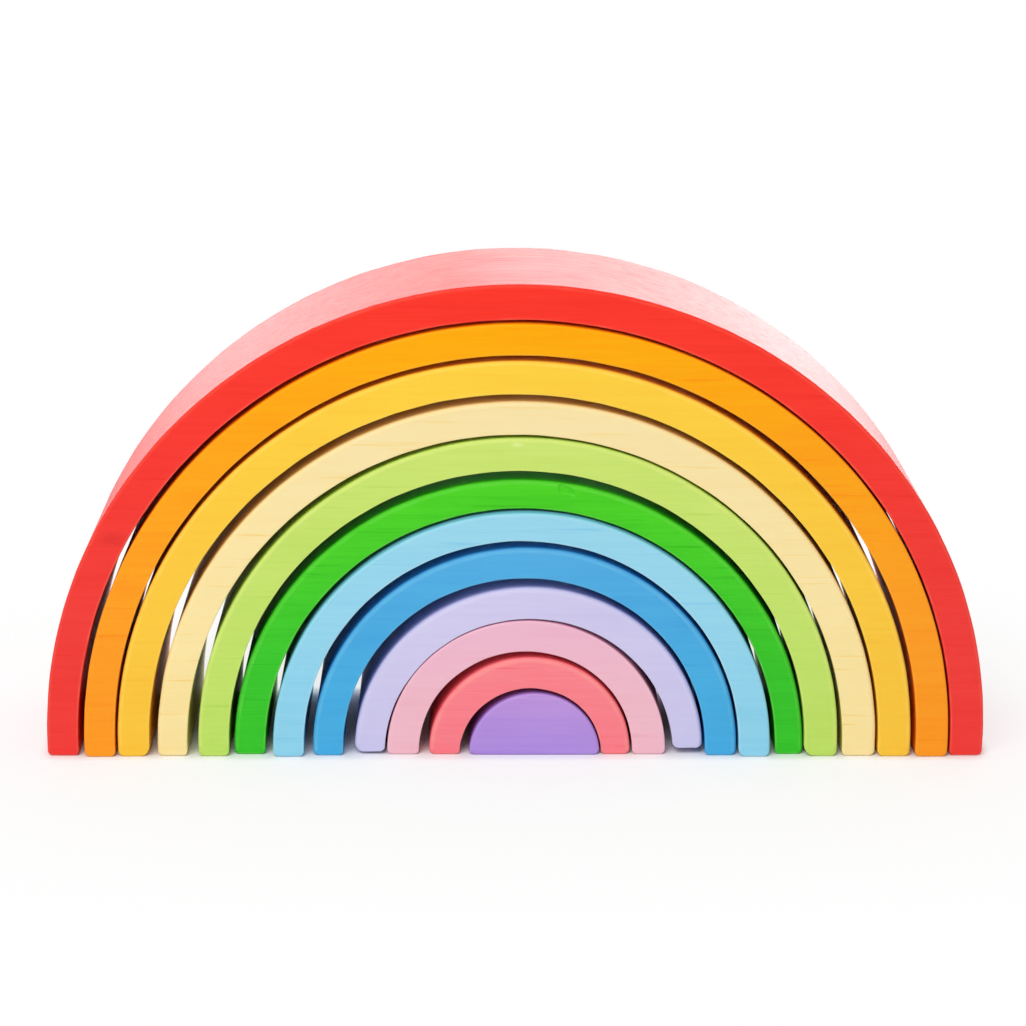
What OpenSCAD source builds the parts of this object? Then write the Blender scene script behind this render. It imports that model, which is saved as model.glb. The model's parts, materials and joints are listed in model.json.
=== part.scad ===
// Nesting wooden rainbow: eleven round arches that stand one inside the next over a half-round core.
// X runs along the width, Y from front to back and Z up. The origin is at the middle of the base.

/* [Pieces] */
// Radius of the half-round core
core_r = 25.9; // [15:0.1:40]
// Nominal wall of an arch, along its radius
wall = 12.4; // [8:0.1:20]
// Depth of every piece, front to back
depth = 70; // [30:1:120]
// Nominal straight leg below the round part of a piece
leg = 2.2; // [1:0.1:20]

/* [Edges] */
// Nominal radius of the sanded edges along the outside of a piece
edge_r = 2; // [0.5:0.1:3.2]
// Radius of the sanded corners at the sides of a foot
foot_edge_r = 2; // [0.5:0.1:3.2]
// Radius of the eased edges along a bore, and along the front and back of a foot
eased_r = 0.6; // [0.2:0.1:1.5]

/* [Nesting] */
// Nominal clearance between one piece and the next, along the radius
clearance = 2.2; // [1.6:0.1:6]
// Height above the table at which the lavender arch hangs on the pink one
hang = 2.6; // [0:0.1:8]
// Angle at which the lavender arch leans there, in degrees
hang_lean = 0.7; // [0:0.1:2]

/* [Hidden] */
$fn = 144;
// Every cut runs past the solid that it cuts by this much
overrun = 1;

// The pieces are sawn, sanded and set by hand. Each list has one entry a piece, from the core outwards.
// Wall as made, a share of the nominal wall (the core has none)
wall_shares = [0, 0.95, 1.03, 0.96, 0.98, 0.99, 0.94, 1.01, 1, 1.02, 1, 1.02];
// Clearance to the piece inside, a share of the nominal clearance
gap_shares = [0, 0.91, 1.1, 0.9, 1.16, 0.97, 1.22, 0.49, 1.45, 0.93, 0.66, 0.77];
// How far the axis of a bore was sawn to the right of the arch's own, a share of the nominal wall
bore_shift_shares = [0, 0.03, -0.02, 0, -0.02, -0.01, 0.05, -0.04, -0.06, -0.02, -0.03, -0.03];
// How far the axis of a bore was sawn above the arch's own, a share of the nominal wall
bore_rise_shares = [0, -0.08, 0, -0.08, -0.02, 0.08, 0.01, -0.04, -0.04, -0.02, 0.02, -0.07];
// Edge as sanded along the outside, a share of the nominal edge
edge_shares = [1, 1, 0.5, 1.1, 1.1, 0.6, 1.1, 0.9, 1, 1, 0.5, 0.5];
// How far the axis stands above the nominal leg, a share of the nominal clearance
rise_shares = [-1.09, -0.64, -0.54, -0.68, 0.14, 0.16, -0.65, 0.95, 0.26, 0.83, 1.11, 1.29];
// How far each piece stands to the right in the bore around it, a share of their clearance
shift_shares = [0.76, 0.63, -0.52, 0.72, 0.64, 0.16, 0.71, 0.37, 0.55, -0.34, 0.43, 0];
// How far each piece is set back from the red arch, a share of the depth
setback_shares = [0.012, 0.019, 0.018, 0.018, 0.002, -0.017, 0.02, -0.01, -0.005, -0.012, -0.017, 0];

NODES = ["purple_core", "coral_arch", "pink_arch", "lavender_arch", "blue_arch", "sky_arch",
    "green_arch", "lime_arch", "cream_arch", "amber_arch", "orange_arch", "red_arch"];

// Pieces are counted from the core outwards, in the order of their names
CORE = 0;
OUTERMOST = len(NODES) - 1;
function count_of(name) = search([name], NODES)[0];

// Radii grow from the core outwards, so each piece keeps its clearance when a size changes
function gap(k) = clearance * gap_shares[k];
function outer_r(k) = k == CORE ? core_r : inner_r(k) + wall * wall_shares[k];
function inner_r(k) = outer_r(k - 1) + gap(k);
function edge(k) = edge_r * edge_shares[k];

// Place of the axis of a bore, from the axis of its arch
function bore_x(k) = wall * bore_shift_shares[k];
function bore_z(k) = wall * bore_rise_shares[k];

// The outermost arch is centred, and each other piece stands a little to one side in the bore around it
function centre_x(k) = k == OUTERMOST ? 0
    : centre_x(k + 1) + bore_x(k + 1) + gap(k + 1) * shift_shares[k];
function centre_y(k) = depth * setback_shares[k];
function centre_z(k) = leg + clearance * rise_shares[k];
// The lavender arch is the tight one: it hangs on the pink arch and its feet stay off the table
function hangs(k) = NODES[k] == "lavender_arch";
function lean(k) = hangs(k) ? hang_lean : 0;
// Height of the feet, from the axis of the piece
function foot_z(k) = (hangs(k) ? hang : 0) - centre_z(k);

// A sanded corner is no rounder than the leg that carries it
foot_r = min(foot_edge_r, leg);
// Half the width of a round at a height above its axis; below its axis the sides run straight down
function half_width(radius, height) = sqrt(radius * radius - pow(max(height, 0), 2));

// Profile of a round block, from its axis outwards, with its outer corners sanded
module block_profile(radius, edge) {
    square([radius - edge, depth]);
    translate([0, edge]) square([radius, depth - 2 * edge]);
    for (y = [edge, depth - edge])
        translate([radius - edge, y]) circle(edge);
}

// Profile of the cut for a bore, from its axis outwards, which flares where its edges are eased
module bore_profile(radius) {
    mouth = radius + eased_r;
    difference() {
        translate([0, -overrun]) square([mouth, depth + 2 * overrun]);
        translate([radius, eased_r]) square([eased_r + overrun, depth - 2 * eased_r]);
        for (y = [eased_r, depth - eased_r])
            translate([mouth, y]) circle(eased_r);
    }
}

// Half turn of a profile about the Y axis, from right to left over the top, run straight down below the axis
module half_round(below) {
    rotate([90, 0, 0]) rotate_extrude(angle = 180) translate([0, -depth / 2]) children();
    translate([0, -depth / 2, -below]) linear_extrude(below) {
        children();
        mirror([1, 0]) children();
    }
}

// Turns an outline drawn in X and Y into an upright one in X and Z, reaching from front to back
module front_to_back(length) {
    translate([0, length / 2, 0]) rotate([90, 0, 0]) linear_extrude(length) children();
}

// Upright outline, centred on X, whose two lower corners are round
module foot_outline(width, height, corner_r) {
    translate([-width / 2, corner_r]) square([width, height - corner_r]);
    translate([corner_r - width / 2, 0]) square([width - 2 * corner_r, height]);
    for (side = [-1, 1])
        translate([side * (width / 2 - corner_r), corner_r]) circle(corner_r);
}

// Everything above height z, with the front and back edges there eased
module above_foot(z, reach) {
    rotate([0, 0, 90]) front_to_back(2 * (reach + overrun))
        translate([0, z]) foot_outline(depth, 2 * reach, eased_r);
}

// Outline of an arch's two feet at height z, and of everything above their corners
module feet(k, z) {
    corner_z = z + foot_r;
    outer = half_width(outer_r(k), corner_z);
    for (side = [-1, 1]) {
        inner = half_width(inner_r(k), corner_z - bore_z(k)) + side * bore_x(k);
        translate([side * (inner + outer) / 2, z]) foot_outline(outer - inner, outer, foot_r);
    }
    translate([-outer_r(k) - overrun, corner_z]) square(2 * (outer_r(k) + overrun));
}

// Arch of that name in its place in the nest
module arch(name) {
    k = count_of(name);
    z = foot_z(k);
    translate([centre_x(k), centre_y(k), centre_z(k)]) rotate([0, -lean(k), 0]) intersection() {
        difference() {
            half_round(overrun + max(-z, 0)) block_profile(outer_r(k), edge(k));
            translate([bore_x(k), 0, bore_z(k)])
                half_round(2 * overrun + max(bore_z(k) - z, 0)) bore_profile(inner_r(k));
        }
        front_to_back(depth + 2 * overrun) feet(k, z);
        above_foot(z, outer_r(k));
    }
}

module purple_core() {
    z = foot_z(CORE);
    width = 2 * half_width(core_r, z + foot_r);
    color("#B08CDC") translate([centre_x(CORE), centre_y(CORE), centre_z(CORE)]) intersection() {
        half_round(overrun + max(-z, 0)) block_profile(core_r, edge(CORE));
        front_to_back(depth + 2 * overrun) {
            translate([0, z]) foot_outline(width, core_r, foot_r);
            translate([-core_r - overrun, z + foot_r]) square(2 * (core_r + overrun));
        }
        above_foot(z, core_r);
    }
}

module coral_arch() { color("#FA828C") arch("coral_arch"); }
module pink_arch() { color("#F0B6C9") arch("pink_arch"); }
module lavender_arch() { color("#D0C9EB") arch("lavender_arch"); }
module blue_arch() { color("#52ACE3") arch("blue_arch"); }
module sky_arch() { color("#98D6EC") arch("sky_arch"); }
module green_arch() { color("#46CF2A") arch("green_arch"); }
module lime_arch() { color("#C4E370") arch("lime_arch"); }
module cream_arch() { color("#F8E3A8") arch("cream_arch"); }
module amber_arch() { color("#FBCC42") arch("amber_arch"); }
module orange_arch() { color("#FEA41C") arch("orange_arch"); }
module red_arch() { color("#F83C34") arch("red_arch"); }

purple_core();
coral_arch();
pink_arch();
lavender_arch();
blue_arch();
sky_arch();
green_arch();
lime_arch();
cream_arch();
amber_arch();
orange_arch();
red_arch();
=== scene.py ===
"""Nesting wooden rainbow: eleven stained arches over a half-round core, on a white studio floor.

Run as a script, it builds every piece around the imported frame, stages it and sets the camera.
"""

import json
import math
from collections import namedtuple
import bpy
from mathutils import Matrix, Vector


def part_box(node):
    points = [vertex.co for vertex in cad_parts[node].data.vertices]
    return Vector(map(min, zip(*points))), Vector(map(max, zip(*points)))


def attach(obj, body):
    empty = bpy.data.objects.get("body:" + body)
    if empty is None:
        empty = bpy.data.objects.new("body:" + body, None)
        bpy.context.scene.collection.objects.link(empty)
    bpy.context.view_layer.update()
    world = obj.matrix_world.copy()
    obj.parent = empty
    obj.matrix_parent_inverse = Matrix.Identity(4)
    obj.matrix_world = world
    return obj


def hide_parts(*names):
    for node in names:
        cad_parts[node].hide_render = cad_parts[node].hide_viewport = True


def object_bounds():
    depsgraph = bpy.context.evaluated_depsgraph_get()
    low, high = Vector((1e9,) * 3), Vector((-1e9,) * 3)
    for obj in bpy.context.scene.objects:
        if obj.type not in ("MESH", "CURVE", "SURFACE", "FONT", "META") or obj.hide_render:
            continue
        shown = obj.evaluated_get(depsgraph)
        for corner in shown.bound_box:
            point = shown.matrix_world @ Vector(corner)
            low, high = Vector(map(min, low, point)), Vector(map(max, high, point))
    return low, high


bl_info = {
    "name": "Nesting Rainbow",
    "version": (1, 0, 0),
    "blender": (4, 5, 0),
    "location": "View3D > Sidebar > Rainbow",
    "description": "Sands, stains and stages a nest of wooden arches",
    "category": "Add Mesh",
}

import bmesh
import bpy
import numpy as np
from bpy.props import FloatProperty, FloatVectorProperty, IntProperty, PointerProperty
from bpy.types import Operator, Panel, PropertyGroup
from mathutils import Matrix, Vector, noise

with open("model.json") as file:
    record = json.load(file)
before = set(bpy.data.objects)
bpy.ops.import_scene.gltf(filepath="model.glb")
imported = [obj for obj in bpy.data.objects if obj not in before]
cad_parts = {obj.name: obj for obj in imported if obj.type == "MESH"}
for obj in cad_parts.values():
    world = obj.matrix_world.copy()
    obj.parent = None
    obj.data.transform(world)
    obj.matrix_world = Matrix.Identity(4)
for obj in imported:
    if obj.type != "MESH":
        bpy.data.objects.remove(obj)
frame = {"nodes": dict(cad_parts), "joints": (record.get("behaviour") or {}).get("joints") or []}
cad_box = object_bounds()

MM = 0.001
SRGB_MAX = 255

# Pieces of the nest, from the core outwards
CORE = "purple_core"
ARCHES = [joint["child"] for joint in frame["joints"]]

# Stain of each piece as it dries on pale wood, on its legs and over its crown
STAINS = {
    "purple_core": {"legs": (181, 148, 224), "crown": (194, 154, 221)},
    "coral_arch": {"legs": (249, 134, 144), "crown": (249, 139, 148)},
    "pink_arch": {"legs": (241, 190, 203), "crown": (236, 185, 207)},
    "lavender_arch": {"legs": (208, 204, 237), "crown": (209, 204, 236)},
    "blue_arch": {"legs": (75, 176, 226), "crown": (87, 175, 226)},
    "sky_arch": {"legs": (148, 213, 237), "crown": (156, 214, 233)},
    "green_arch": {"legs": (60, 200, 47), "crown": (83, 214, 38)},
    "lime_arch": {"legs": (194, 225, 109), "crown": (203, 226, 115)},
    "cream_arch": {"legs": (248, 228, 167), "crown": (242, 223, 170)},
    "amber_arch": {"legs": (247, 200, 66), "crown": (248, 206, 66)},
    "orange_arch": {"legs": (249, 159, 38), "crown": (248, 173, 2)},
    "red_arch": {"legs": (238, 60, 55), "crown": (248, 51, 34)},
}

# Warm pale wood under the stain
WOOD = (255, 240, 160)

# Hand finish of each piece: radius of its outer edges in millimetres, how far the stain is rubbed off
# there and at the mouth of the bore, which also paints the highlight that those rounded edges catch, how deep
# the stain soaks into the grain and into single open fibres, and the sheen of its wax
Finish = namedtuple("Finish", "edge outer_wear bore_wear soak flecks sheen")
FINISHES = {
    "purple_core": Finish(1.2, 0.05, 0.0, 0.20, 0.20, 0.07),
    "coral_arch": Finish(1.5, 0.36, 0.15, 0.28, 0.60, 0.07),
    "pink_arch": Finish(0.7, 0.20, 0.10, 0.19, 0.22, 0.07),
    "lavender_arch": Finish(1.7, 0.18, 0.10, 0.16, 0.18, 0.07),
    "blue_arch": Finish(1.6, 0.34, 0.20, 0.22, 0.25, 0.07),
    "sky_arch": Finish(1.2, 0.05, 0.55, 0.22, 0.25, 0.07),
    "green_arch": Finish(1.5, 0.40, 0.60, 0.28, 0.35, 0.07),
    "lime_arch": Finish(1.3, 0.50, 0.55, 0.20, 0.25, 0.07),
    "cream_arch": Finish(1.5, 0.10, 0.10, 0.24, 0.60, 0.07),
    "amber_arch": Finish(1.4, 0.45, 0.40, 0.18, 0.25, 0.07),
    "orange_arch": Finish(1.0, 0.05, 0.20, 0.22, 0.25, 0.07),
    "red_arch": Finish(1.0, 0.22, 0.45, 0.28, 0.35, 0.16),
}

# Radius in millimetres of the corners of the feet, from left to right: outer and inner, inner and outer
EVEN_CORNERS = (2.0, 2.0, 2.0, 2.0)
FOOT_CORNERS = {
    "lavender_arch": (3.2, 2.6, 3.0, 2.0),
    "sky_arch": (2.0, 2.0, 3.0, 2.0),
    "lime_arch": (2.0, 2.4, 4.5, 2.0),
    "amber_arch": (2.0, 4.0, 2.4, 2.0),
}

# Marks of handling: where on a piece, how far they reach, both in millimetres, their colour and strength
Mark = namedtuple("Mark", "place reach colour strength")
MARKS = {
    "red_arch": Mark((-155.6, -35.0, 89.1), (7.0, 4.0, 4.0), (196, 30, 34), 0.36),
    "lime_arch": Mark((-0.7, -35.7, 127.5), (3.0, 3.0, 1.2), (246, 246, 190), 0.45),
}

# Chip out of a face: the piece, where on it and how far it reaches, both in millimetres
CHIPPED = "green_arch"
CHIP_PLACE = (18.6, -33.6, 108.6)
CHIP_REACH = 3.4

# Values noted at each point of a mesh, from 0 to 1: where the stain is rubbed thin, which also paints a
# highlight on the rounded edges, and where the wood was sawn across its grain, which takes a darker stain
# that is partly painted shade in the gaps between arches
WORN_AND_HIGHLIT = "sanded"
SAWN = "sawn"

# The tight arch, which leans where it hangs on the one inside it
HANGING = "lavender_arch"

# Patterns in the wood: how many grains a metre holds along the length, the depth and the height of the nest,
# the detail and roughness of their noise, and the noise at which they begin to show and show in full
Pattern = namedtuple("Pattern", "grains detail roughness low high")
FINE_FIBRES = Pattern((40.0, 1500.0, 1500.0), 3.0, 0.6, 0.35, 0.75)
STREAKS = Pattern((18.0, 520.0, 520.0), 3.0, 0.55, 0.45, 0.78)
BANDS = Pattern((3.0, 95.0, 95.0), 2.0, 0.5, 0.3, 0.7)
BLOTCHES = Pattern((22.0, 30.0, 30.0), 2.0, 0.5, 0.3, 0.7)
FLECKS = Pattern((24.0, 640.0, 640.0), 2.0, 0.5, 0.64, 0.76)
RUBBED_AND_HIGHLIT_PATCHES = Pattern((90.0, 140.0, 140.0), 3.0, 0.6, 0.32, 0.68)
RAGGED_RIM = Pattern((300.0, 300.0, 700.0), 3.0, 0.6, 0.0, 1.0)

# What the grain gives to the stain, and the share of fine fibres in it beside that of the streaks
GRAIN_PARTS = ("Fibre", "Bands", "Blotches", "Flecks")
FINE_SHARE = 0.45
# How far along its board a piece was cut, in metres for each letter of its name
BOARD_STEP = (0.13, 0.37, 0.29)

# How the stain takes: what clouds and sawn faces soak up, the sawn faces partly as painted shade in the gaps
# between arches, coats of the deepest stain, share of a coat left where it is rubbed thin, which also paints
# a highlight on the edges, least and most of that in patches, and the share of the height where a crown
# begins
CLOUD_SOAK = 0.16
# Sawn faces take a darker stain partly because they soak up more and partly as painted shade for the gaps
# between arches
SAWN_SOAK_AND_GAP_SHADE = 0.5
DEEP_COATS_AND_GAP_SHADE = 2.0
RUBBED_AND_HIGHLIT_COAT = 0.6
RUBBED_AND_HIGHLIT_RANGE = (0.3, 1.3)
CROWN_FROM = 0.3
# Where a mark of handling begins to fade and ends, in shares of its reach
MARK_FADE = (0.7, 1.5)
# Roughness of closed and of open fibres, and how far open ones lie below the face
ROUGHNESS = (0.36, 0.52)
FIBRE_DEPTH = 0.15 * MM
FIBRE_RELIEF = 0.25

# Share of its radius above its axis from which the bore of an arch is measured
ARC_FROM = 0.25
# Share of the wall that every straight side of a section is longer than, and every rounded one shorter
STRAIGHT_FROM = 1 / 3
# How finely a piece is made: segments of its edges, and cuts across its wall and along its depth
OUTER_EDGE_SEGMENTS = 6
BORE_EDGE_SEGMENTS = 4
FOOT_SEGMENTS = 8
WALL_CUTS = 3
DEPTH_CUTS = 9
# How strongly large faces set the shading at their edges, in percent
FACE_WEIGHT = 90
# Distances at which points count as level, and as one
LEVEL = 0.01 * MM
ONE_POINT = 0.001 * MM

# Height over which a foot goes from its flat sole to sanded wood
FOOT_HEIGHT = 8 * MM
# Length of the waves that sanding leaves on faces and on edges, and how strong those on edges are beside
# those on faces
FACE_WAVE = 26 * MM
EDGE_WAVE = 9 * MM
EDGE_WAVE_SHARE = 1.5
# Unit in which a piece's own sizes set its waves apart from those of the others
WAVE_SEED = 3 * MM
# Facing to the front at which a face counts as sawn across the grain, and as flat
SAWN_FACING = 0.1
FLAT_FACING = 0.7

# How finely the face is cut around the chip, and how far around it
CHIP_CUTS = 7
CHIP_MARGIN = 1.5
# How the chip is squeezed and slanted, how ragged it is, in waves of what length, and how steep its sides are
CHIP_SQUEEZE = 1.7
CHIP_SLANT = 0.6
CHIP_RAGGED = 0.5
CHIP_WAVE = 1.8 * MM
CHIP_STEEP = 3
# How far the stain is rubbed off along the rim of the chip, and where that rim begins
CHIP_WEAR = 0.2
CHIP_RIM = 0.7

# Soft boxes of the studio, in metres
Lamp = namedtuple("Lamp", "name place target width height")
KEY_LAMP = Lamp("Key lamp", (-0.5, -1.1, 1.5), (0, 0, 0.08), 1.2, 0.9)
BACK_LAMP = Lamp("Back lamp", (0.7, 1.25, 0.4), (0.05, 0, 0.16), 1.6, 0.8)
BACK_FILL_LAMP = Lamp("Back fill lamp", (-0.555, 1.25, 0.42), (-0.05, 0, 0.16), 1.2, 0.7)
# A lamp that gives sheen alone stands this far behind the one that lights the faces
BEHIND = (0, 0.02, 0)

# Floor: how far it reaches, how far it lies below the soles, its colour, and how it runs out to plain white,
# as distances from the nest between which a share of white comes in
WHITE = (1.0, 1.0, 1.0, 1.0)
FLOOR_REACH = 4.0
FLOOR_DROP = 0.1 * MM
FLOOR_COLOUR = (0.93, 0.93, 0.935, 1.0)
FLOOR_ROUGHNESS = 0.9
FLOOR_FADES = ((0.0, 4 * MM, 0.64), (10 * MM, 160 * MM, 0.36))

# Width of the sensor of the camera in millimetres
SENSOR_WIDTH = 36.0


def stain_colour(rgb):
    """Scene-linear colour with full alpha of a display colour from 0 to 255."""
    shares = [value / SRGB_MAX for value in rgb]
    linear = [s / 12.92 if s <= 0.04045 else ((s + 0.055) / 1.055) ** 2.4 for s in shares]
    return (*linear, 1.0)


def plain_name(node):
    """Name of a piece as a person would say it."""
    return node.replace("_", " ")


class NestSizes(PropertyGroup):
    """Sizes of the hand work that the frame does not fix."""

    bore_edge: FloatProperty(
        name="Bore edge",
        description="Radius of the edges along the inside of an arch",
        default=0.45 * MM, unit="LENGTH",
    )
    foot_front_edge: FloatProperty(
        name="Foot front edge",
        description="Radius of the edges along the front and back of a foot",
        default=0.6 * MM, unit="LENGTH",
    )
    # Where the paler edge colour, partly worn stain and partly painted highlight, ends
    rim: FloatProperty(
        name="Rim",
        description="How far beside an edge the stain is rubbed thin",
        default=0.5 * MM, unit="LENGTH",
    )
    chip_depth: FloatProperty(
        name="Chip depth",
        description="How deep the chip in the green arch is",
        default=0.8 * MM, unit="LENGTH",
    )
    unevenness: FloatProperty(
        name="Unevenness",
        description="How far hand sanding leaves a face from true",
        default=0.08 * MM, unit="LENGTH",
    )
    lavender_lean: FloatProperty(
        name="Lavender lean",
        description="Angle at which the lavender arch hangs on the pink one",
        default=math.radians(0.7), subtype="ANGLE",
    )
    turn_steps: IntProperty(
        name="Turn steps",
        description="Steps in the half turn of a piece",
        default=144,
    )


def stain_property(node, part):
    """Colour property for the stain on one part of a piece."""
    return FloatVectorProperty(
        name=f"{plain_name(node).capitalize()}, {part}",
        description=f"Stain on the {part} of the {plain_name(node)}",
        default=stain_colour(STAINS[node][part]), size=4, subtype="COLOR", min=0, max=1,
    )


class NestStains(PropertyGroup):
    """Stain on the legs and on the crown of each piece."""

    __annotations__ = {
        f"{node}_{part}": stain_property(node, part) for node in STAINS for part in STAINS[node]
    }


class NestStage(PropertyGroup):
    """Camera and light of the studio."""

    lens: FloatProperty(
        name="Lens",
        description="Focal length on a sensor 36 mm wide",
        default=91.2, subtype="DISTANCE_CAMERA",
    )
    distance: FloatProperty(
        name="Distance",
        description="From the camera to the middle of the nest",
        default=1.032, unit="LENGTH",
    )
    target: FloatVectorProperty(
        name="Target",
        description="Point that the camera looks at",
        default=(-1.32 * MM, 0.0, 89.3 * MM), subtype="XYZ", unit="LENGTH",
    )
    pitch: FloatProperty(
        name="Pitch",
        description="How far the camera looks down",
        default=math.radians(17.3), subtype="ANGLE",
    )
    yaw: FloatProperty(
        name="Yaw",
        description="How far the camera looks to the right of straight on",
        default=math.radians(1.12), subtype="ANGLE",
    )
    roll: FloatProperty(
        name="Roll",
        description="How far the camera is tipped to the left",
        default=math.radians(0.42), subtype="ANGLE",
    )
    daylight: FloatProperty(
        name="Daylight",
        description="Strength of the even white light from all round",
        default=0.62,
    )
    key_power: FloatProperty(
        name="Key lamp",
        description="Power of the soft lamp above the front",
        default=17.0, unit="POWER",
    )
    back_power: FloatProperty(
        name="Back lamp",
        description="Power of the soft lamp behind the right shoulder",
        default=16.8, unit="POWER",
    )
    back_fill_power: FloatProperty(
        name="Back fill lamp",
        description="Power of the weaker soft lamp behind the left shoulder",
        default=7.2, unit="POWER",
    )
    back_lit: FloatProperty(
        name="Back lamps, lit share",
        description="Share of the back lamps' light that falls on every face; the rest shows as sheen alone",
        default=0.43, subtype="FACTOR", min=0, max=1,
    )


# Wood and stain


def new_group(name, inputs, outputs):
    """Empty shader node group with the named sockets, and its input and output nodes."""
    tree = bpy.data.node_groups.new(name, "ShaderNodeTree")
    for in_out, sockets in (("INPUT", inputs), ("OUTPUT", outputs)):
        for socket, kind in sockets:
            tree.interface.new_socket(socket, in_out=in_out, socket_type="NodeSocket" + kind)
    return tree, tree.nodes.new("NodeGroupInput"), tree.nodes.new("NodeGroupOutput")


def add_node(tree, kind, settings=None, **inputs):
    """New node with its settings; an input that is given a socket is linked, and one given a value is set.

    An input goes by its name, with _ for a space, or by its place, as i0, i1 and so on.
    """
    node = tree.nodes.new("ShaderNode" + kind)
    for key, value in (settings or {}).items():
        setattr(node, key, value)
    for key, value in inputs.items():
        numbered = key[0] == "i" and key[1:].isdigit()
        socket = node.inputs[int(key[1:]) if numbered else key.replace("_", " ")]
        if isinstance(value, bpy.types.NodeSocket):
            tree.links.new(value, socket)
        else:
            socket.default_value = value
    return node


def in_order(values):
    """Inputs for add_node that go by their place."""
    return {f"i{place}": value for place, value in enumerate(values)}


def calculated(tree, operation, *values, clamp=False):
    """Result of one step of arithmetic on sockets or numbers."""
    settings = {"operation": operation, "use_clamp": clamp}
    return add_node(tree, "Math", settings, **in_order(values)).outputs[0]


def calculated_vector(tree, operation, *values):
    """Result of one step of arithmetic on vectors; a length is a number."""
    node = add_node(tree, "VectorMath", {"operation": operation}, **in_order(values))
    return node.outputs["Value" if operation == "LENGTH" else "Vector"]


def ranged(tree, value, low, high, to_low, to_high):
    """Value between low and high, carried over to another range and held there."""
    node = add_node(tree, "MapRange", Value=value, From_Min=low, From_Max=high, To_Min=to_low, To_Max=to_high)
    return node.outputs["Result"]


def mixed(tree, share, first, second):
    """Mix of two colours by the share of the second; the sockets for colours go by their place."""
    return add_node(tree, "Mix", {"data_type": "RGBA"}, i0=share, i6=first, i7=second).outputs[2]


def patterned(tree, vector, pattern, least=0.0, most=1.0):
    """Pattern in the wood, from its least to its most."""
    mapping = add_node(tree, "Mapping", Vector=vector, Scale=pattern.grains)
    texture = add_node(tree, "TexNoise", Vector=mapping.outputs["Vector"], Scale=1.0, Detail=pattern.detail,
                       Roughness=pattern.roughness)
    return ranged(tree, texture.outputs["Fac"], pattern.low, pattern.high, least, most)


def make_long_grain():
    """Wood whose fibres run along the length of the nest, so end grain shows at the sides of the legs."""
    parts = [(part, "Float") for part in GRAIN_PARTS]
    tree, given, made = new_group("Long Grain", [("Vector", "Vector")], parts)
    vector = given.outputs["Vector"]
    fine = patterned(tree, vector, FINE_FIBRES, most=FINE_SHARE)
    streaks = patterned(tree, vector, STREAKS, most=1 - FINE_SHARE)
    tree.links.new(calculated(tree, "ADD", fine, streaks), made.inputs["Fibre"])
    for part, pattern in (("Bands", BANDS), ("Blotches", BLOTCHES), ("Flecks", FLECKS)):
        tree.links.new(patterned(tree, vector, pattern), made.inputs[part])
    return tree


def make_soaked_stain_and_gap_shade():
    """Stain that soaks deeper into open fibres and sawn faces, and dries a little unevenly; the darker sawn
    faces are also painted shade for the gaps between arches.
    """
    values = [(value, "Float") for value in (*GRAIN_PARTS, "Sawn", "Soak", "Fleck Soak")]
    tree, given, made = new_group(
        "SoakedAndGapShaded Stain", [("Stain", "Color"), ("Deep Stain", "Color"), *values], [("Color", "Color")])
    inputs = given.outputs
    lines = calculated(tree, "MULTIPLY", inputs["Fibre"], inputs["Soak"])
    cloud = calculated(tree, "MULTIPLY", inputs["Bands"], inputs["Blotches"])
    clouded = calculated(tree, "MULTIPLY_ADD", cloud, CLOUD_SOAK, lines)
    flecked = calculated(tree, "MULTIPLY_ADD", inputs["Flecks"], inputs["Fleck Soak"], clouded)
    # Curved sawn faces go towards the deep stain, partly as real soaking and partly as painted shade in the
    # gaps
    deep = calculated(tree, "MULTIPLY_ADD", inputs["Sawn"], SAWN_SOAK_AND_GAP_SHADE, flecked, clamp=True)
    tree.links.new(mixed(tree, deep, inputs["Stain"], inputs["Deep Stain"]), made.inputs["Color"])
    return tree


def make_worn_and_highlit_edge():
    """Edges rubbed back by sanding and by hands, where the stain is thin and the pale wood shows through,
    which also paints the highlight that the rounded edges catch.
    """
    tree, given, made = new_group(
        "Sanded Edge",
        [("Color", "Color"), ("Thin Stain", "Color"), ("Sanded", "Float"), ("Vector", "Vector")],
        [("Color", "Color")])
    inputs = given.outputs
    patches = patterned(tree, inputs["Vector"], RUBBED_AND_HIGHLIT_PATCHES, *RUBBED_AND_HIGHLIT_RANGE)
    rubbed = calculated(tree, "MULTIPLY", inputs["Sanded"], patches, clamp=True)
    tree.links.new(mixed(tree, rubbed, inputs["Color"], inputs["Thin Stain"]), made.inputs["Color"])
    return tree


def make_handling_mark():
    """Ragged mark of another colour at one place."""
    tree, given, made = new_group(
        "Handling Mark",
        [("Color", "Color"), ("Mark", "Color"), ("Vector", "Vector"), ("Place", "Vector"),
         ("Reach", "Vector"), ("Strength", "Float")],
        [("Color", "Color")])
    inputs = given.outputs
    away = calculated_vector(tree, "SUBTRACT", inputs["Vector"], inputs["Place"])
    distance = calculated_vector(tree, "LENGTH", calculated_vector(tree, "DIVIDE", away, inputs["Reach"]))
    ragged = calculated(tree, "ADD", distance, patterned(tree, inputs["Vector"], RAGGED_RIM))
    shown = calculated(tree, "MULTIPLY", ranged(tree, ragged, *MARK_FADE, 1.0, 0.0), inputs["Strength"])
    tree.links.new(mixed(tree, shown, inputs["Color"], inputs["Mark"]), made.inputs["Color"])
    return tree


def add_group(tree, name, make, **inputs):
    """Node that places a shared group, which is made the first time that it is asked for."""
    return add_node(tree, "Group", {"node_tree": bpy.data.node_groups.get(name) or make()}, **inputs)


def coated(colour, coats):
    """Colour of that many coats of a stain, of which one coat gives the colour."""
    return (*[c ** coats for c in colour[:3]], 1.0)


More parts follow.
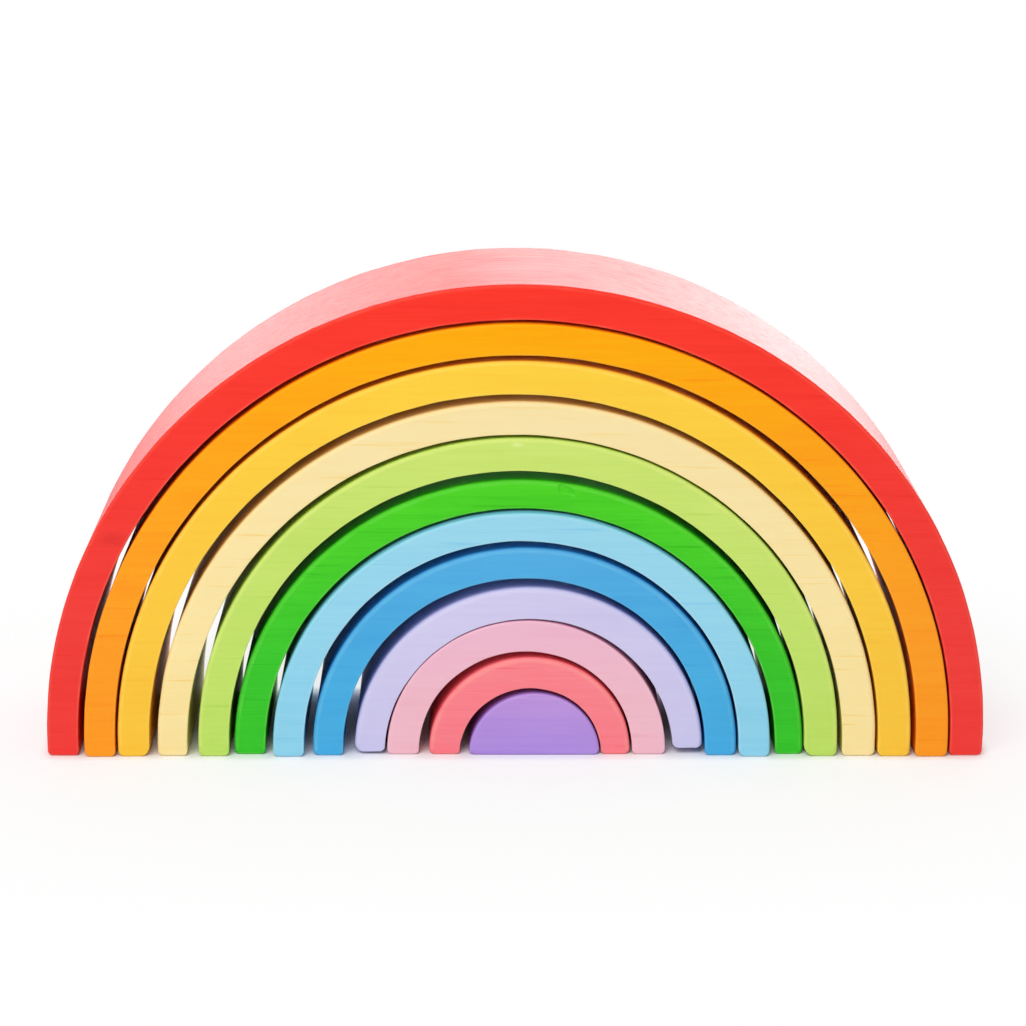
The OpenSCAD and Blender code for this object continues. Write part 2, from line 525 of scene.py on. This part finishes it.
def thinned_and_highlit(colour, share):
    """Colour of a stain rubbed down to a share of its coat, so that the wood shows through; on the edges it
    also paints their highlight.
    """
    return (*[max(c, w * (c / w) ** share) for c, w in zip(colour[:3], stain_colour(WOOD))], 1.0)


def stain_over(tree, place, legs, crown, top):
    """Stain that changes from the legs of a piece to its crown."""
    height = add_node(tree, "SeparateXYZ", Vector=place).outputs["Z"]
    return mixed(tree, ranged(tree, height, CROWN_FROM * top, top, 0.0, 1.0), legs, crown)


def marked(tree, place, colour, mark):
    """Colour with a mark of handling on it."""
    group = add_group(
        tree, "Handling Mark", make_handling_mark, Color=colour, Mark=stain_colour(mark.colour), Vector=place,
        Place=Vector(mark.place) * MM, Reach=Vector(mark.reach) * MM, Strength=mark.strength)
    return group.outputs["Color"]


def stain_material(node, legs, crown, top):
    """Satin stained wood for one piece."""
    finish = FINISHES[node]
    material = bpy.data.materials.new(plain_name(node) + " stain")
    material.use_nodes = True
    tree = material.node_tree
    shader = tree.nodes["Principled BSDF"]
    place = add_node(tree, "TexCoord").outputs["Object"]
    along_board = tuple(step * len(node) for step in BOARD_STEP)
    board = add_node(tree, "Mapping", Vector=place, Location=along_board).outputs["Vector"]
    sanded = add_node(tree, "Attribute", {"attribute_name": WORN_AND_HIGHLIT}).outputs["Fac"]
    sawn = add_node(tree, "Attribute", {"attribute_name": SAWN}).outputs["Fac"]
    grain = add_group(tree, "Long Grain", make_long_grain, Vector=board)
    # The deep stain on the curved sawn faces is partly painted shade for the gaps between arches
    stain = add_group(
        tree, "SoakedAndGapShaded Stain", make_soaked_stain_and_gap_shade, Stain=stain_over(tree, place, legs, crown, top),
        Deep_Stain=coated(legs, DEEP_COATS_AND_GAP_SHADE), Sawn=sawn, Soak=finish.soak, Fleck_Soak=finish.flecks,
        **{part: grain.outputs[part] for part in GRAIN_PARTS})
    # Paler edges: partly rubbed-off stain, partly painted highlight on the rounded edges
    edge = add_group(
        tree, "Sanded Edge", make_worn_and_highlit_edge, Color=stain.outputs["Color"],
        Thin_Stain=thinned_and_highlit(legs, RUBBED_AND_HIGHLIT_COAT), Sanded=sanded, Vector=board)
    colour = edge.outputs["Color"]
    if node in MARKS:
        colour = marked(tree, place, colour, MARKS[node])
    fibre = grain.outputs["Fibre"]
    bump = add_node(tree, "Bump", {"invert": True}, Height=fibre, Strength=FIBRE_RELIEF, Distance=FIBRE_DEPTH)
    tree.links.new(colour, shader.inputs["Base Color"])
    tree.links.new(ranged(tree, fibre, 0.0, 1.0, *ROUGHNESS), shader.inputs["Roughness"])
    tree.links.new(bump.outputs["Normal"], shader.inputs["Normal"])
    shader.inputs["Specular IOR Level"].default_value = finish.sheen
    return material


# Sawn and sanded pieces


def fitted_round(points):
    """Axis and radius of the round that points of an upright face lie on."""
    rows = np.array([(p.x, p.z, 1.0) for p in points])
    squares = np.array([p.x ** 2 + p.z ** 2 for p in points])
    twice_x, twice_z, rest = np.linalg.lstsq(rows, squares, rcond=None)[0]
    axis = Vector((twice_x / 2, 0.0, twice_z / 2))
    return axis, math.sqrt(rest + axis.length_squared)


def measured(node):
    """Sizes of a piece read from its frame solid: axis, outer radius, depth, foot height and bore."""
    low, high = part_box(node)
    outer = (high.x - low.x) / 2
    centre = Vector(((low.x + high.x) / 2, (low.y + high.y) / 2, high.z - outer))
    size = {"centre": centre, "outer": outer, "depth": high.y - low.y, "foot": low.z - centre.z}
    if node == CORE:
        return {**size, "bore": 0.0, "bore_shift": Vector()}
    arc = [v.co - centre for v in frame["nodes"][node].data.vertices if v.co.z > centre.z + ARC_FROM * outer]
    nearest = min(math.hypot(c.x, c.z) for c in arc)
    inside = [c for c in arc if math.hypot(c.x, c.z) < (nearest + outer) / 2]
    wall_end = min(abs(c.y) for c in inside)
    shift, bore = fitted_round([c for c in inside if abs(c.y) < wall_end + LEVEL])
    return {**size, "bore": bore, "bore_shift": shift}


def round_corners(bm, corners, radius, segments):
    """Rounds corners of a flat section."""
    bmesh.ops.bevel(bm, geom=corners, offset=radius, offset_type="OFFSET", affect="VERTICES",
                    segments=segments, profile=0.5, clamp_overlap=True, material=-1)


def section(bm, size, finish, sizes, sanded):
    """Rounded section through the right leg of a piece, lying flat at the height of its axis."""
    inner, outer, depth = size["bore"], size["outer"], size["depth"]
    verts = bmesh.ops.create_grid(bm, x_segments=1, y_segments=1, size=0.5)["verts"]
    middle = (outer + inner) / 2
    bmesh.ops.scale(bm, vec=(outer - inner, depth, 1.0), verts=verts)
    bmesh.ops.translate(bm, vec=(middle, 0.0, 0.0), verts=verts)
    round_corners(bm, [v for v in bm.verts if v.co.x > middle], finish.edge * MM, OUTER_EDGE_SEGMENTS)
    if inner > 0:
        mouth = [v for v in bm.verts if v.co.x < inner + sizes.bore_edge / 2]
        round_corners(bm, mouth, sizes.bore_edge, BORE_EDGE_SEGMENTS)
    # Paler rims on the rounded edges and the mouth of the bore: partly rubbed-off stain, partly painted
    # highlight
    for vert in bm.verts:
        onto_face = max(0.0, 1 - (depth / 2 - abs(vert.co.y)) / (finish.edge * MM))
        vert[sanded] = finish.outer_wear * onto_face ** 2 if vert.co.x > middle else finish.bore_wear
    sides = [e for e in bm.edges if e.calc_length() > STRAIGHT_FROM * (outer - inner)]
    for side in sides:
        for end in side.verts[:]:
            rim = bmesh.utils.edge_split(side, end, sizes.rim / side.calc_length())[1]
            rim[sanded] = 0.0
    deep = [e for e in sides if abs(e.verts[0].co.y - e.verts[1].co.y) > depth / 2]
    bmesh.ops.subdivide_edges(bm, edges=[e for e in sides if e not in deep], cuts=WALL_CUTS)
    bmesh.ops.subdivide_edges(bm, edges=deep, cuts=DEPTH_CUTS)


def half_turn(bm, steps):
    """Turns the section over the crown to the left leg."""
    geom = bm.verts[:] + bm.edges[:] + bm.faces[:]
    bmesh.ops.spin(bm, geom=geom, cent=(0, 0, 0), axis=(0, -1, 0), angle=math.pi, steps=steps,
                   use_duplicate=False)
    bmesh.ops.remove_doubles(bm, verts=bm.verts, dist=ONE_POINT)


def flat_faces(bm, height):
    """Faces that lie flat at a height."""
    return [f for f in bm.faces if all(abs(v.co.z - height) < LEVEL for v in f.verts)]


def extruded_verts(made):
    """Vertices that an extrusion made."""
    return [item for item in made["geom"] if isinstance(item, bmesh.types.BMVert)]


def rounding(radius, height):
    """How far a rounded edge stands in from its face, at a height above the sole."""
    below = max(0.0, radius - height)
    return radius - math.sqrt(radius ** 2 - below ** 2)


def stand_on_feet(bm, foot, corners, front_edge, wear, sanded):
    """Runs the legs down to the feet and rounds the edges there."""
    reach = max(corners)
    made = bmesh.ops.extrude_face_region(bm, geom=flat_faces(bm, 0.0))
    bmesh.ops.translate(bm, vec=(0, 0, -2 * reach - abs(foot)), verts=extruded_verts(made))
    bmesh.ops.delete(bm, geom=flat_faces(bm, 0.0), context="FACES")
    geom = bm.verts[:] + bm.edges[:] + bm.faces[:]
    bmesh.ops.bisect_plane(bm, geom=geom, plane_co=(0, 0, foot + reach), plane_no=(0, 0, 1),
                           clear_inner=True)
    rims = [e for e in bm.edges if e.is_boundary]
    soles = bmesh.ops.holes_fill(bm, edges=rims, sides=0)["faces"]
    for sole in soles:
        left, right = corners[:2] if sole.calc_center_median().x < 0 else corners[2:]
        round_foot(bm, sole, reach, (left, right, front_edge), wear, sanded)


def round_foot(bm, sole, reach, radii, wear, sanded):
    """Draws one foot in towards its sole, by a radius for its left, its right, and its front and back."""
    left, right, front_edge = radii
    low = Vector(min(v.co[axis] for v in sole.verts) for axis in range(3))
    high = Vector(max(v.co[axis] for v in sole.verts) for axis in range(3))
    old_low, old_high, height = low, high, reach
    for step in range(1, FOOT_SEGMENTS + 1):
        new_height = reach * (1 - math.sin(math.pi / 2 * step / FOOT_SEGMENTS))
        new_low = low + Vector((rounding(left, new_height), rounding(front_edge, new_height), 0.0))
        new_high = high - Vector((rounding(right, new_height), rounding(front_edge, new_height), 0.0))
        made = bmesh.ops.extrude_face_region(bm, geom=[sole])
        bmesh.ops.delete(bm, geom=[sole], context="FACES_ONLY")
        verts = extruded_verts(made)
        sole = next(item for item in made["geom"] if isinstance(item, bmesh.types.BMFace))
        old_size, new_size = old_high - old_low, new_high - new_low
        shrink = (new_size.x / old_size.x, new_size.y / old_size.y, 1.0)
        middle = (old_low + old_high) / 2
        bmesh.ops.scale(bm, vec=shrink, space=Matrix.Translation(-middle), verts=verts)
        shift = (new_low + new_high) / 2 - middle
        bmesh.ops.translate(bm, vec=(shift.x, shift.y, new_height - height), verts=verts)
        # The rounded front and back of a foot get the pale rim of the bore: partly wear, partly painted
        # highlight
        for vert in verts:
            vert[sanded] = wear if 0 < new_height < front_edge else 0.0
        old_low, old_high, height = new_low, new_high, new_height


def above_sole(vert, foot):
    """Is 0 on the sole of a foot and 1 from a little above it."""
    return min(1.0, max(0.0, (vert.co.z - foot) / FOOT_HEIGHT))


def saw_off_axis(bm, size):
    """Moves the bore to where it was sawn, and the wood around it in proportion; the soles stay flat."""
    shift, wall = size["bore_shift"], size["outer"] - size["bore"]
    for vert in bm.verts:
        radius = math.hypot(vert.co.x, max(0.0, vert.co.z))
        share = (size["outer"] - radius) / wall
        vert.co += share * Vector((shift.x, 0.0, shift.z * above_sole(vert, size["foot"])))


def note_sawn_faces(bm, sawn):
    """Notes 1 on the curved faces, which soak up more stain and carry painted shade for the gaps between
    arches, and 0 on the flat front and back.
    """
    bm.normal_update()
    for vert in bm.verts:
        share = (FLAT_FACING - abs(vert.normal.y)) / (FLAT_FACING - SAWN_FACING)
        vert[sawn] = min(1.0, max(0.0, share))


def hand_sand(bm, unevenness, foot, seed, sanded):
    """Takes the faces and edges a little out of true, but leaves the soles flat."""
    bm.normal_update()
    shifts = {}
    for vert in bm.verts:
        face = noise.noise(vert.co / FACE_WAVE + seed)
        edge = EDGE_WAVE_SHARE * (vert[sanded] > 0) * noise.noise(vert.co / EDGE_WAVE + seed)
        shifts[vert] = vert.normal * unevenness * (face + edge) * above_sole(vert, foot)
    for vert, shift in shifts.items():
        vert.co += shift


def chip(bm, place, reach, depth, sanded):
    """Knocks a ragged chip out of the front of a piece."""
    near = [f for f in bm.faces if (f.calc_center_median() - place).length < CHIP_MARGIN * reach]
    edges = list({e for f in near for e in f.edges})
    bmesh.ops.subdivide_edges(bm, edges=edges, cuts=CHIP_CUTS, use_grid_fill=True)
    for vert in bm.verts:
        away = vert.co - place
        slanted = Vector((away.x, away.y, CHIP_SQUEEZE * away.z + CHIP_SLANT * away.x))
        ragged = slanted.length / reach + CHIP_RAGGED * noise.noise(vert.co / CHIP_WAVE)
        if ragged < 1:
            vert.co.y += depth * min(1.0, CHIP_STEEP * (1 - ragged))
            vert[sanded] = max(vert[sanded], CHIP_WEAR * (ragged > CHIP_RIM))


def add_piece(node, bm, material):
    """Object for a finished mesh, which stands for its frame solid and rides on its body."""
    mesh = bpy.data.meshes.new(plain_name(node))
    bm.to_mesh(mesh)
    bm.free()
    mesh.materials.append(material)
    mesh.polygons.foreach_set("use_smooth", [True] * len(mesh.polygons))
    piece = bpy.data.objects.new(node.replace("_", "-"), mesh)
    bpy.context.scene.collection.objects.link(piece)
    weighted = piece.modifiers.new("Face normals", "WEIGHTED_NORMAL")
    weighted.keep_sharp = True
    weighted.weight = FACE_WEIGHT
    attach(piece, node)
    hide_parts(node)
    return piece


def make_piece(node, lean=0.0):
    """Saws, sands, stains and places one piece of the nest."""
    scene = bpy.context.scene
    sizes, stains = scene.nest_sizes, scene.nest_stains
    size, finish = measured(node), FINISHES[node]
    bm = bmesh.new()
    sanded, sawn = [bm.verts.layers.float.new(name) for name in (WORN_AND_HIGHLIT, SAWN)]
    section(bm, size, finish, sizes, sanded)
    half_turn(bm, sizes.turn_steps)
    corners = [radius * MM for radius in FOOT_CORNERS.get(node, EVEN_CORNERS)]
    stand_on_feet(bm, size["foot"], corners, sizes.foot_front_edge, finish.bore_wear, sanded)
    bmesh.ops.recalc_face_normals(bm, faces=bm.faces)
    saw_off_axis(bm, size)
    note_sawn_faces(bm, sawn)
    seed = Vector((size["outer"], size["depth"], size["bore"])) / WAVE_SEED
    hand_sand(bm, sizes.unevenness, size["foot"], seed, sanded)
    place = Matrix.Translation(size["centre"]) @ Matrix.Rotation(-lean, 4, "Y")
    bmesh.ops.transform(bm, matrix=place, verts=bm.verts)
    if node == CHIPPED:
        chip(bm, Vector(CHIP_PLACE) * MM, CHIP_REACH * MM, sizes.chip_depth, sanded)
    legs, crown = [tuple(getattr(stains, f"{node}_{part}")) for part in STAINS[node]]
    material = stain_material(node, legs, crown, size["centre"].z + size["outer"])
    return add_piece(node, bm, material)


class RAINBOW_OT_core(Operator):
    """Make the half-round core that the arches stand over"""

    bl_idname = "rainbow.core"
    bl_label = "Half-round core"

    def execute(self, context):
        make_piece(CORE)
        return {"FINISHED"}


class RAINBOW_OT_arches(Operator):
    """Make the eleven arches, from the smallest outwards"""

    bl_idname = "rainbow.arches"
    bl_label = "Arches"

    def execute(self, context):
        for node in ARCHES:
            lean = context.scene.nest_sizes.lavender_lean if node == HANGING else 0.0
            make_piece(node, lean)
        return {"FINISHED"}


# Studio


def camera_matrix(stage):
    """Place and turn of the camera from its target, distance and angles."""
    pitch, yaw = stage.pitch, stage.yaw
    forward = Vector((math.sin(yaw) * math.cos(pitch), math.cos(yaw) * math.cos(pitch), -math.sin(pitch)))
    right = Vector((math.cos(yaw), -math.sin(yaw), 0.0))
    turn = Matrix((right, right.cross(forward), -forward)).transposed().to_4x4()
    place = Matrix.Translation(Vector(stage.target) - stage.distance * forward)
    return place @ turn @ Matrix.Rotation(stage.roll, 4, "Z")


def make_camera(stage):
    """Camera at the viewing angle."""
    camera = bpy.data.cameras.new("Studio camera")
    camera.sensor_width = SENSOR_WIDTH
    camera.lens = stage.lens
    holder = bpy.data.objects.new("Studio camera", camera)
    holder.matrix_world = camera_matrix(stage)
    bpy.context.scene.collection.objects.link(holder)
    bpy.context.scene.camera = holder


def make_lamp(lamp, power, sheen_only=False):
    """Soft box that faces its target and is not seen itself; its light may show as sheen alone."""
    light = bpy.data.lights.new(lamp.name, "AREA")
    light.shape = "RECTANGLE"
    light.size, light.size_y = lamp.width, lamp.height
    light.energy = power
    holder = bpy.data.objects.new(lamp.name, light)
    holder.location = lamp.place
    holder.rotation_mode = "QUATERNION"
    holder.rotation_quaternion = (Vector(lamp.target) - Vector(lamp.place)).to_track_quat("-Z", "Y")
    holder.visible_camera = False
    holder.visible_diffuse = not sheen_only
    bpy.context.scene.collection.objects.link(holder)


def make_back_lamp(lamp, power, lit):
    """Soft box behind the nest: a share of its light falls on every face, and the rest is sheen alone."""
    make_lamp(lamp, lit * power)
    behind = lamp._replace(name=lamp.name + " sheen", place=Vector(lamp.place) + Vector(BEHIND))
    make_lamp(behind, (1 - lit) * power, sheen_only=True)


def seen_directly(tree):
    """Is 1 for rays that show the backdrop, straight, mirrored or through glass, and 0 for the rest."""
    rays = add_node(tree, "LightPath").outputs
    straight_or_mirrored = calculated(tree, "MAXIMUM", rays["Is Camera Ray"], rays["Is Glossy Ray"])
    return calculated(tree, "MAXIMUM", straight_or_mirrored, rays["Is Transmission Ray"])


def make_daylight(stage):
    """White backdrop all round that gives even light."""
    world = bpy.data.worlds.new("White studio")
    world.use_nodes = True
    bpy.context.scene.world = world
    tree = world.node_tree
    background = tree.nodes["Background"]
    background.inputs["Color"].default_value = WHITE
    strength = ranged(tree, seen_directly(tree), 0.0, 1.0, stage.daylight, 1.0)
    tree.links.new(strength, background.inputs["Strength"])


def distance_from_nest(tree):
    """Distance on the floor from the footprint of the nest."""
    place = add_node(tree, "TexCoord").outputs["Object"]
    from_middle = calculated_vector(tree, "ABSOLUTE", place)
    past_side = calculated_vector(tree, "SUBTRACT", from_middle, (cad_box[1] - cad_box[0]) / 2)
    return calculated_vector(tree, "LENGTH", calculated_vector(tree, "MAXIMUM", past_side, (0.0, 0.0, 0.0)))


def floor_material():
    """Pale matt floor that keeps the shadow of the nest and runs out to white where it is seen."""
    material = bpy.data.materials.new("Pale floor")
    material.use_nodes = True
    tree = material.node_tree
    shader = tree.nodes["Principled BSDF"]
    shader.inputs["Base Color"].default_value = FLOOR_COLOUR
    shader.inputs["Roughness"].default_value = FLOOR_ROUGHNESS
    shader.inputs["Specular IOR Level"].default_value = 0.0
    away = distance_from_nest(tree)
    fades = [ranged(tree, away, start, end, 0.0, share) for start, end, share in FLOOR_FADES]
    shown = calculated(tree, "MULTIPLY", calculated(tree, "ADD", *fades), seen_directly(tree))
    white = add_node(tree, "Emission", Color=WHITE, Strength=1.0)
    mix = add_node(tree, "MixShader", **in_order((shown, shader.outputs["BSDF"], white.outputs["Emission"])))
    tree.links.new(mix.outputs["Shader"], tree.nodes["Material Output"].inputs["Surface"])
    return material


def make_floor():
    """Floor that the nest stands on."""
    bm = bmesh.new()
    bmesh.ops.create_grid(bm, x_segments=1, y_segments=1, size=FLOOR_REACH)
    bmesh.ops.translate(bm, vec=(0, 0, -FLOOR_DROP), verts=bm.verts)
    mesh = bpy.data.meshes.new("Floor")
    bm.to_mesh(mesh)
    bm.free()
    mesh.materials.append(floor_material())
    floor = bpy.data.objects.new("Floor", mesh)
    bpy.context.scene.collection.objects.link(floor)


class RAINBOW_OT_stage(Operator):
    """Set the floor, the light and the camera"""

    bl_idname = "rainbow.stage"
    bl_label = "Studio"

    def execute(self, context):
        stage = context.scene.nest_stage
        make_floor()
        make_daylight(stage)
        make_lamp(KEY_LAMP, stage.key_power)
        make_back_lamp(BACK_LAMP, stage.back_power, stage.back_lit)
        make_back_lamp(BACK_FILL_LAMP, stage.back_fill_power, stage.back_lit)
        make_camera(stage)
        context.scene.view_settings.view_transform = "Standard"
        return {"FINISHED"}


class RAINBOW_PT_nest(Panel):
    """Sizes, stains and steps of the nest"""

    bl_idname = "RAINBOW_PT_nest"
    bl_label = "Nesting Rainbow"
    bl_space_type = "VIEW_3D"
    bl_region_type = "UI"
    bl_category = "Rainbow"

    def draw(self, context):
        for operator in OPERATORS:
            self.layout.operator(operator.bl_idname)
        for group in (context.scene.nest_sizes, context.scene.nest_stains, context.scene.nest_stage):
            box = self.layout.box()
            for name in group.__annotations__:
                box.prop(group, name)


GROUPS = {"nest_sizes": NestSizes, "nest_stains": NestStains, "nest_stage": NestStage}
OPERATORS = (RAINBOW_OT_core, RAINBOW_OT_arches, RAINBOW_OT_stage)


def register():
    """Registers the classes and hangs their values on the scene."""
    for cls in (*GROUPS.values(), *OPERATORS, RAINBOW_PT_nest):
        bpy.utils.register_class(cls)
    for name, cls in GROUPS.items():
        setattr(bpy.types.Scene, name, PointerProperty(type=cls))


def unregister():
    """Takes the values off the scene and the classes out."""
    for name in GROUPS:
        delattr(bpy.types.Scene, name)
    for cls in reversed((*GROUPS.values(), *OPERATORS, RAINBOW_PT_nest)):
        bpy.utils.unregister_class(cls)


def main():
    """Builds and stages the nest."""
    register()
    bpy.ops.rainbow.core()
    bpy.ops.rainbow.arches()
    bpy.ops.rainbow.stage()


if __name__ == "__main__":
    main()
